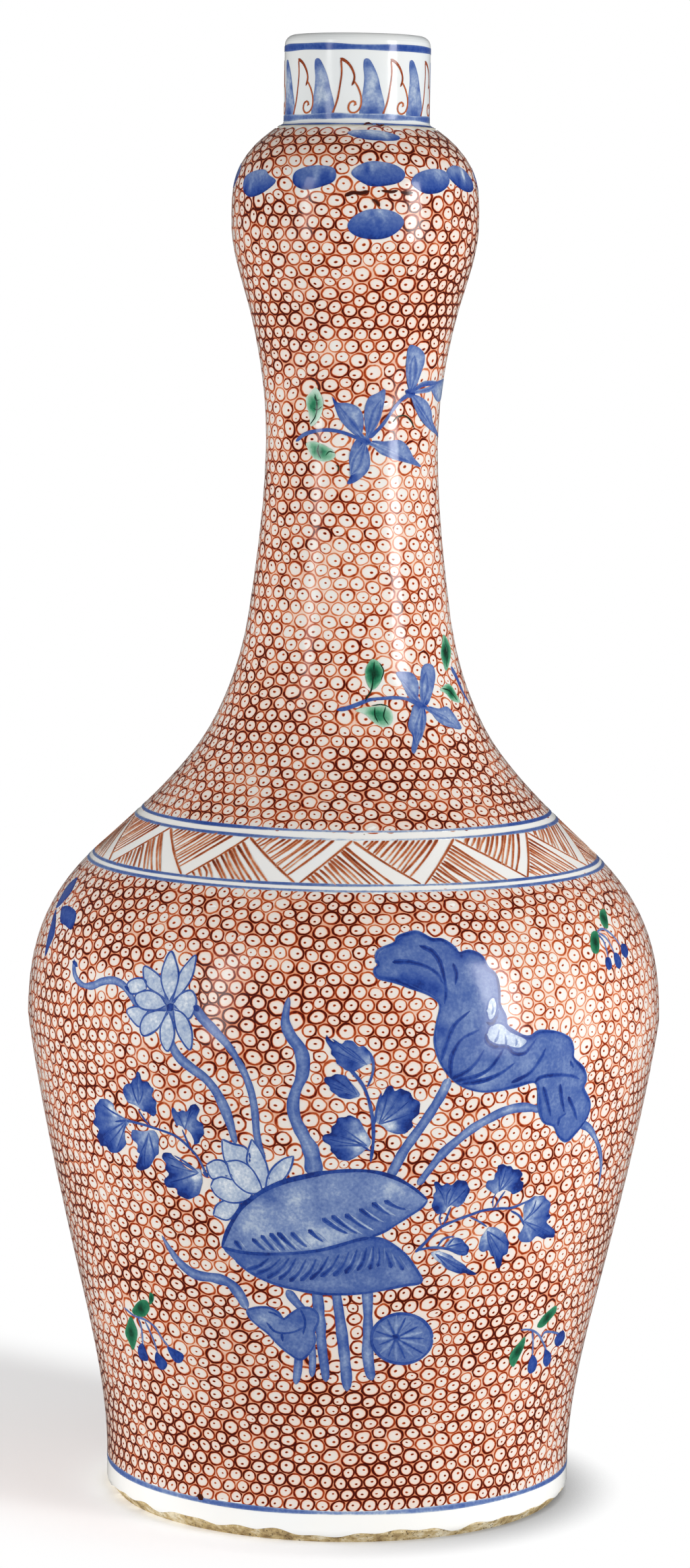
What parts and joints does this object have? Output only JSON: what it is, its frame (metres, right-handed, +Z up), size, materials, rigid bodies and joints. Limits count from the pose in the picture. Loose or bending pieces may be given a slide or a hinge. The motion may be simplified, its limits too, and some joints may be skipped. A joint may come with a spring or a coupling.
{
  "type": "garlic head vase",
  "caption": "Tall porcelain bottle vase with a garlic-bulb head, slender neck and high-shouldered body on a turned foot, painted with lotus sprays on a red roe ground; holds water and stems.",
  "frame": {"origin": "centre of the foot, on the table", "axes": "+Z up along the axis of the thrown form, -Y towards the painted front"},
  "size_m": [0.1956, 0.1956, 0.45],
  "materials": {
    "painted_porcelain": "gloss",
    "white_porcelain": "gloss",
    "biscuit": "matte",
    "luting_slip": "matte"
  },
  "bodies": {
    "root": {"foot_base": "biscuit", "foot_slip": "luting_slip", "lower_body": "painted_porcelain", "belly_slip": "luting_slip", "upper_body": "painted_porcelain", "shoulder_slip": "luting_slip", "neck": "painted_porcelain", "neck_slip": "luting_slip", "garlic_bulb": "painted_porcelain", "collar_slip": "luting_slip", "mouth_collar": "white_porcelain"}
  },
  "joints": []
}
